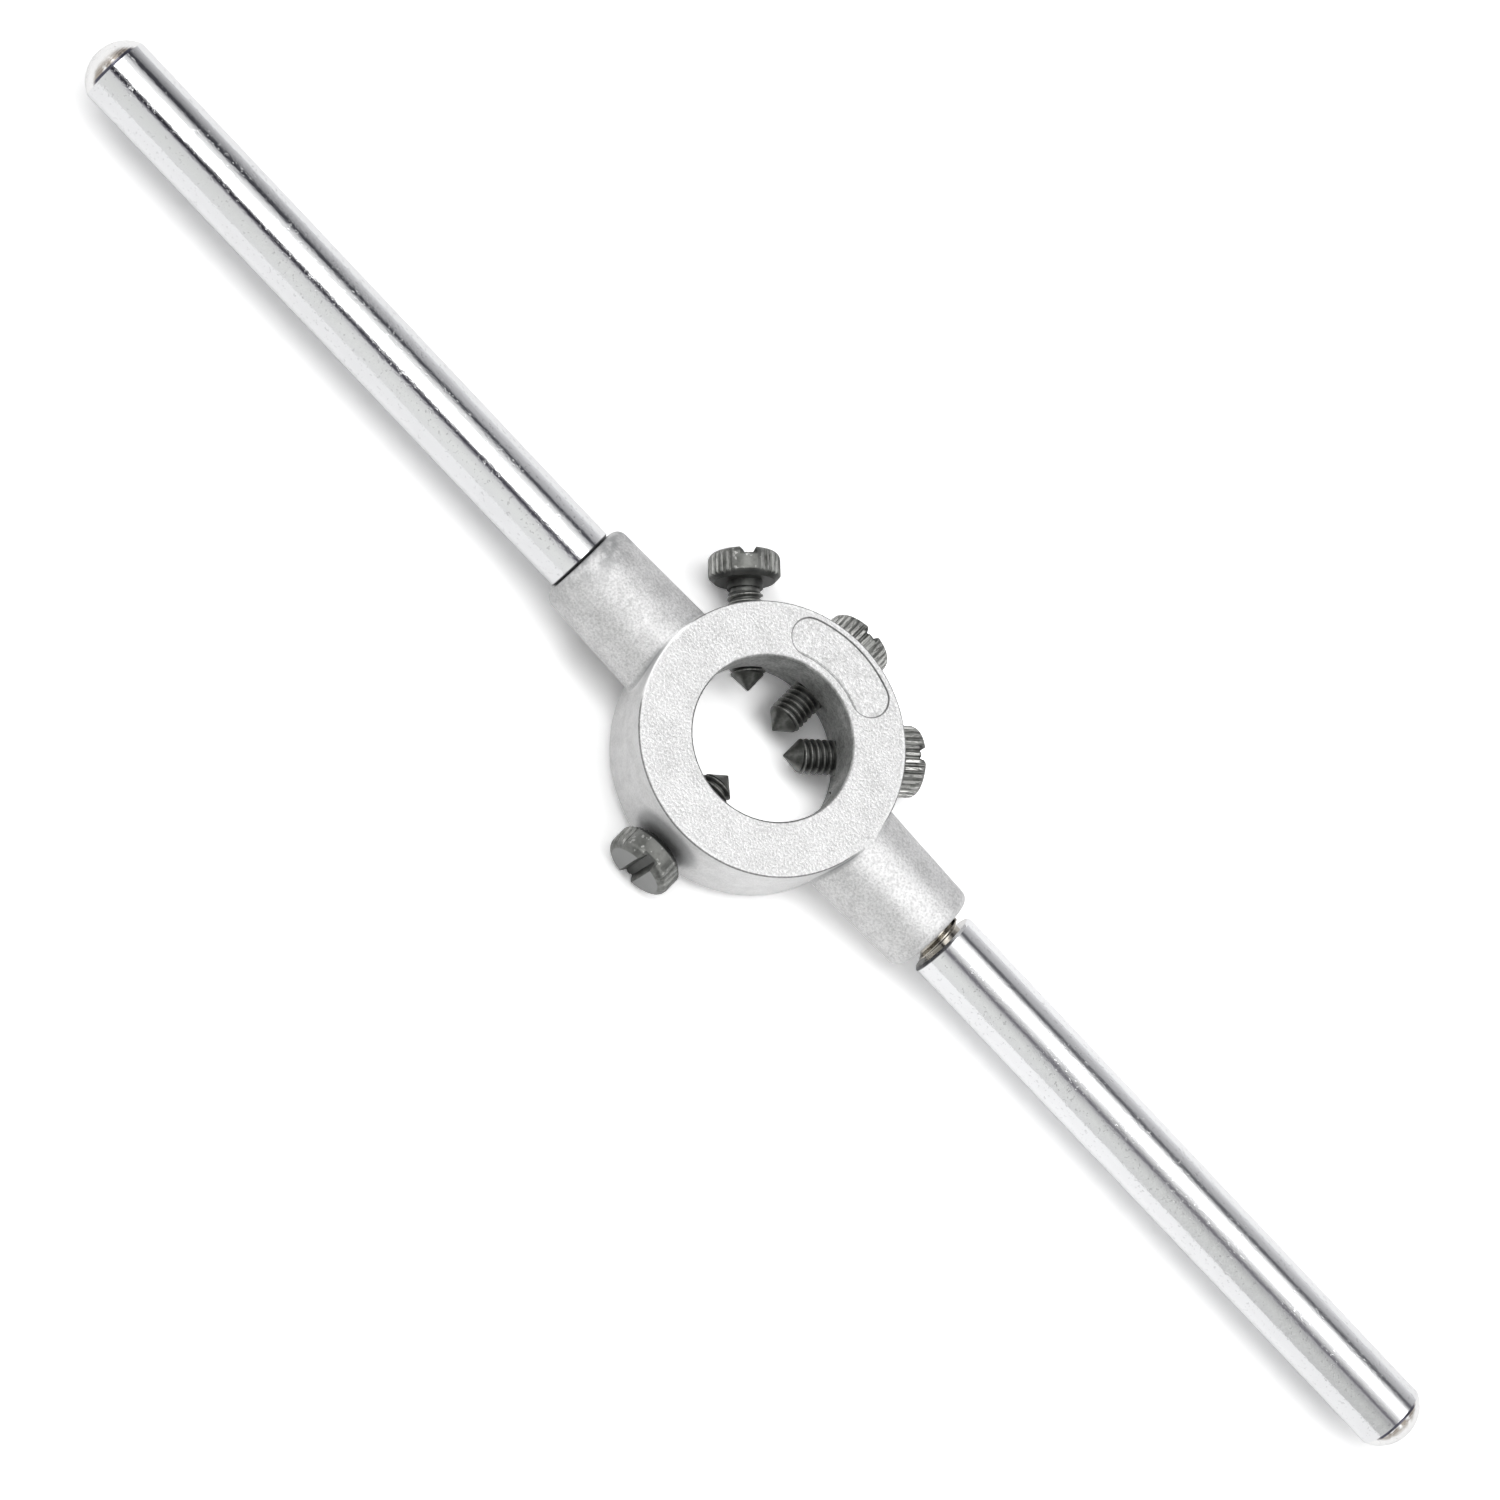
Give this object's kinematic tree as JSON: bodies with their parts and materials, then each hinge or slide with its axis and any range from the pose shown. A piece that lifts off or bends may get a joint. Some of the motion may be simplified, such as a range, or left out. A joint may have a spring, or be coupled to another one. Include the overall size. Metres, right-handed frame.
{
  "type": "die stock handle",
  "caption": "Two-handed stock for round threading dies: cast ring with stepped bore, screwed-in steel handles and knurled cone-point clamping screws.",
  "frame": {"origin": "on the ring's axis, in the seat plane of the die, where the handles' axis crosses it", "axes": "+X along the right handle, +Y towards the three neighbouring screws, +Z along the ring's axis out of the lip side"},
  "size_m": [0.2029, 0.0378, 0.0114],
  "materials": {
    "cast_zinc": "as-cast zinc alloy, fine sandy grain",
    "plated_steel": "bright plated turned steel",
    "blackened_steel": "black oxide, oiled"
  },
  "bodies": {
    "stock": {"cast_body": "cast_zinc"},
    "handle_left_body": {"handle_left": "plated_steel"},
    "handle_right_body": {"handle_right": "plated_steel"},
    "clamp_screw_left_body": {"clamp_screw_left": "blackened_steel"},
    "adjusting_screw_body": {"adjusting_screw": "blackened_steel"},
    "clamp_screw_right_body": {"clamp_screw_right": "blackened_steel"},
    "clamp_screw_lower_body": {"clamp_screw_lower": "blackened_steel"}
  },
  "joints": [
    {"name": "clamp_screw_left_travel", "type": "slide", "parent": "stock", "child": "clamp_screw_left_body", "axis": [-0.7071, 0.7071, 0], "range_m": [-0.0039, 0.0048]},
    {"name": "adjusting_screw_travel", "type": "slide", "parent": "stock", "child": "adjusting_screw_body", "axis": [0, 1, 0], "range_m": [-0.0008, 0.0079]},
    {"name": "clamp_screw_right_travel", "type": "slide", "parent": "stock", "child": "clamp_screw_right_body", "axis": [0.7071, 0.7071, 0], "range_m": [-0.0008, 0.0079]},
    {"name": "clamp_screw_lower_travel", "type": "slide", "parent": "stock", "child": "clamp_screw_lower_body", "axis": [0, -1, 0], "range_m": [-0.0006, 0.0081]},
    {"name": "handle_left_travel", "type": "slide", "parent": "stock", "child": "handle_left_body", "axis": [-1, 0, 0], "range_m": [0, 0.0122]},
    {"name": "handle_right_travel", "type": "slide", "parent": "stock", "child": "handle_right_body", "axis": [1, 0, 0], "range_m": [-0.0013, 0.0109]}
  ]
}
